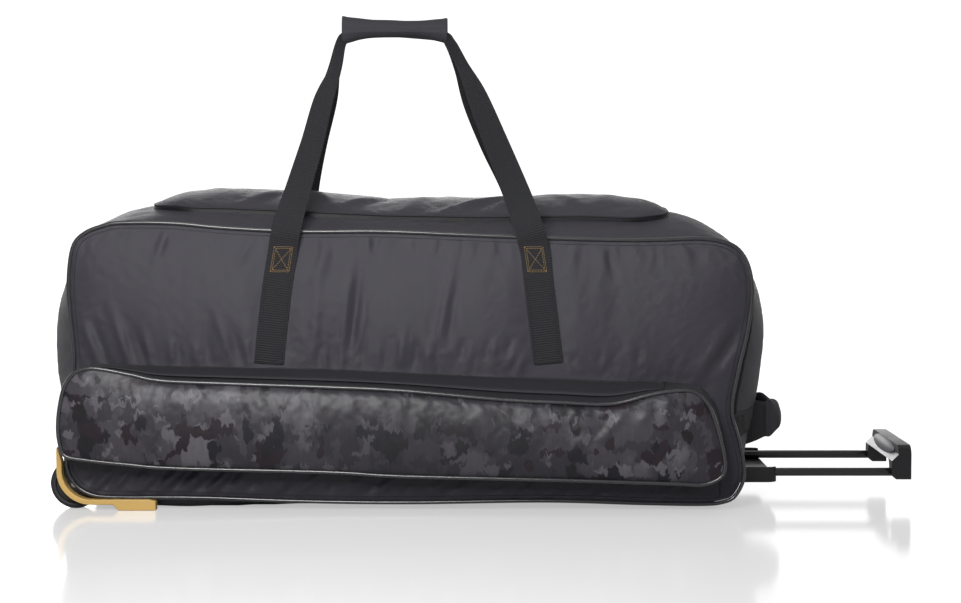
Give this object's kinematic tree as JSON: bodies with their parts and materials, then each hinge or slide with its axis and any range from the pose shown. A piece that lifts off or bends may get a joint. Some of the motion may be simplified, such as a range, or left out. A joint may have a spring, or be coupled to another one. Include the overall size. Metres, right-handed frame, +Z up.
{
  "type": "wheeled cricket kit bag",
  "caption": "Long soft sports bag with a domed zip lid, a low patterned front pocket, carry straps joined by a wrap grip, corner wheels with guards and a telescopic pull handle.",
  "frame": {"origin": "on the floor, under the middle of the bag's base", "axes": "+X along the bag towards the pull handle, -Y towards the pocket at the front, +Z up"},
  "size_m": [1.1407, 0.4233, 0.6445],
  "materials": {
    "body_cloth": "padded polyester with a fine weave, charcoal violet, satin",
    "trim_cloth": "dark polyester trim, matt",
    "pattern_cloth": "satin polyester printed with a grey camouflage of soft patches",
    "webbing": "ribbed polypropylene webbing, matt",
    "piping": "rolled coated edge with a soft gloss",
    "yellow_plastic": "moulded golden yellow plastic, fine grain",
    "black_plastic": "moulded black plastic, fine grain",
    "grey_rubber": "soft grey grip pad",
    "wheel_rubber": "black wheel, smooth tread",
    "black_metal": "gloss black coating",
    "steel": "plain steel, out of sight"
  },
  "bodies": {
    "bag": {"body_shell": "body_cloth", "lid": "body_cloth", "lid_zip_band": "trim_cloth", "front_piping": "piping", "back_piping": "piping", "pocket_panel": "pattern_cloth", "pocket_gusset": "trim_cloth", "pocket_piping": "piping", "pocket_zip_flap": "trim_cloth", "carry_strap_front": "webbing", "carry_strap_rear": "webbing", "carry_grip": "trim_cloth", "end_handle": "webbing", "handle_tray": "black_plastic", "wheel_guard_front": "yellow_plastic", "wheel_guard_rear": "yellow_plastic", "wheel_housing_front": "black_plastic", "wheel_housing_rear": "black_plastic", "axle_front": "steel", "axle_rear": "steel", "handle_tube_front": "steel", "handle_tube_rear": "steel"},
    "wheel_front": {"wheel_front": "wheel_rubber"},
    "wheel_rear": {"wheel_rear": "wheel_rubber"},
    "pull_handle": {"handle_rod_front": "black_metal", "handle_rod_rear": "black_metal", "pull_grip": "black_plastic", "pull_grip_insert": "grey_rubber"}
  },
  "joints": [
    {"name": "wheel_front_spin", "type": "hinge", "parent": "bag", "child": "wheel_front", "pos_m": [-0.4326, -0.154, 0.0325], "axis": [0, 1, 0], "continuous": true},
    {"name": "wheel_rear_spin", "type": "hinge", "parent": "bag", "child": "wheel_rear", "pos_m": [-0.4326, 0.154, 0.0325], "axis": [0, 1, 0], "continuous": true},
    {"name": "pull_handle_slide", "type": "slide", "parent": "bag", "child": "pull_handle", "axis": [1, 0, 0], "range_m": [-0.144, 0]}
  ]
}
